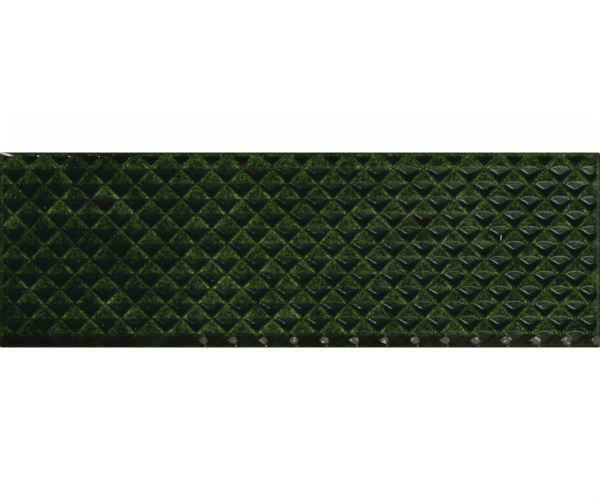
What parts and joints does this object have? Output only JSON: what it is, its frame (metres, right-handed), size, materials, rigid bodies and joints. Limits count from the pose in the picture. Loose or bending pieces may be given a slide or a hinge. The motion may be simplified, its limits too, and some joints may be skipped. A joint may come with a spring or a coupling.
{
  "type": "wall tile",
  "caption": "Oblong glazed ceramic wall tile with a face of sunk diamonds between raised ridges, a narrow plain border and a keyed back, for fixing to a wall with adhesive.",
  "frame": {"origin": "centre of the plane that the ribs of the back rest on", "axes": "+X along the tile's length, +Y across its width, +Z out of the glazed face"},
  "size_m": [0.2, 0.065, 0.009],
  "materials": {
    "glaze": "glossy dark green glaze, thin and lighter on the ridges"
  },
  "bodies": {
    "root": {"wall_tile": "glaze"}
  },
  "joints": []
}
